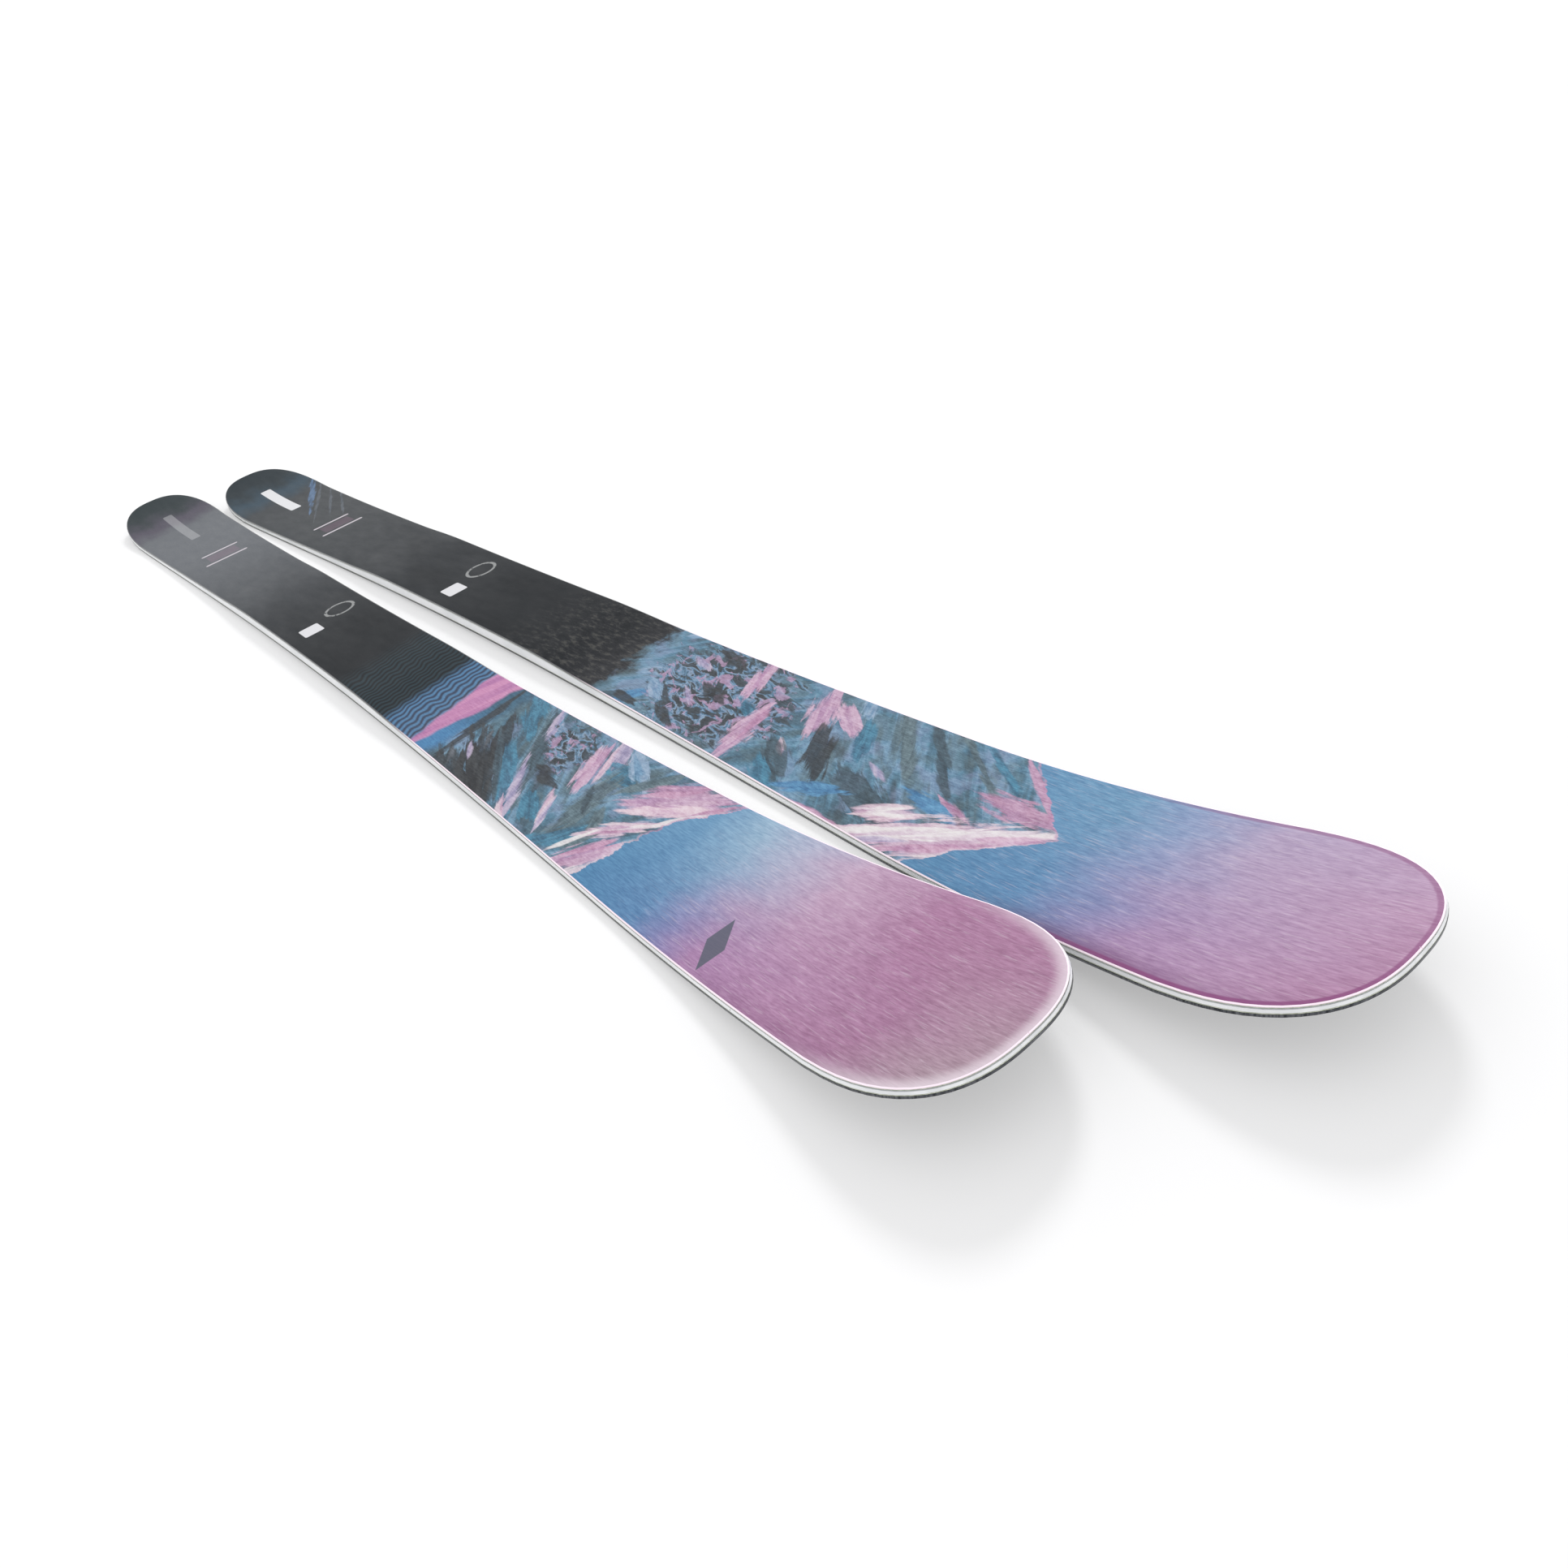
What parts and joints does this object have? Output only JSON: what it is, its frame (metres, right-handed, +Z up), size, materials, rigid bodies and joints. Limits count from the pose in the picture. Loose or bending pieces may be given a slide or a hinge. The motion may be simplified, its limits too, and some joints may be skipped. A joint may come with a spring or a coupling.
{
  "type": "pair of alpine skis",
  "caption": "Pair of rockered alpine skis lying side by side without bindings, with steel edges, light sidewalls, laminated wood cores and printed mountain topsheets.",
  "frame": {"origin": "on the snow plane, under the middle of the pair", "axes": "+X towards the tips, +Y to the skier's left, +Z up off the snow"},
  "size_m": [1.8194, 0.2688, 0.0473],
  "materials": {
    "base_plastic": "waxed, dark grey",
    "edge_steel": "ground",
    "damping_rubber": "matte",
    "glass_laminate": "cured resin",
    "sidewall_plastic": "satin, light grey",
    "beech_core": "planed",
    "poplar_core": "planed",
    "alloy_sheet": "satin",
    "printed_topsheet": "printed, satin clear coat"
  },
  "bodies": {
    "right_ski": {"right_base": "base_plastic", "right_edge_right": "edge_steel", "right_edge_left": "edge_steel", "right_edge_filler": "damping_rubber", "right_lower_laminate": "glass_laminate", "right_sidewall_right": "sidewall_plastic", "right_sidewall_left": "sidewall_plastic", "right_tail_spacer": "sidewall_plastic", "right_tip_spacer": "sidewall_plastic", "right_core_strip_1": "beech_core", "right_core_strip_2": "poplar_core", "right_core_strip_3": "beech_core", "right_core_strip_4": "poplar_core", "right_core_strip_5": "beech_core", "right_binding_plate": "alloy_sheet", "right_metal_sheet": "alloy_sheet", "right_upper_laminate": "glass_laminate", "right_topsheet": "printed_topsheet"},
    "left_ski": {"left_base": "base_plastic", "left_edge_right": "edge_steel", "left_edge_left": "edge_steel", "left_edge_filler": "damping_rubber", "left_lower_laminate": "glass_laminate", "left_sidewall_right": "sidewall_plastic", "left_sidewall_left": "sidewall_plastic", "left_tail_spacer": "sidewall_plastic", "left_tip_spacer": "sidewall_plastic", "left_core_strip_1": "beech_core", "left_core_strip_2": "poplar_core", "left_core_strip_3": "beech_core", "left_core_strip_4": "poplar_core", "left_core_strip_5": "beech_core", "left_binding_plate": "alloy_sheet", "left_metal_sheet": "alloy_sheet", "left_upper_laminate": "glass_laminate", "left_topsheet": "printed_topsheet"}
  },
  "joints": [
    {"name": "left_ski_lift", "type": "slide", "parent": "right_ski", "child": "left_ski", "axis": [0, 0, 1], "range_m": [0, 0.3]}
  ]
}
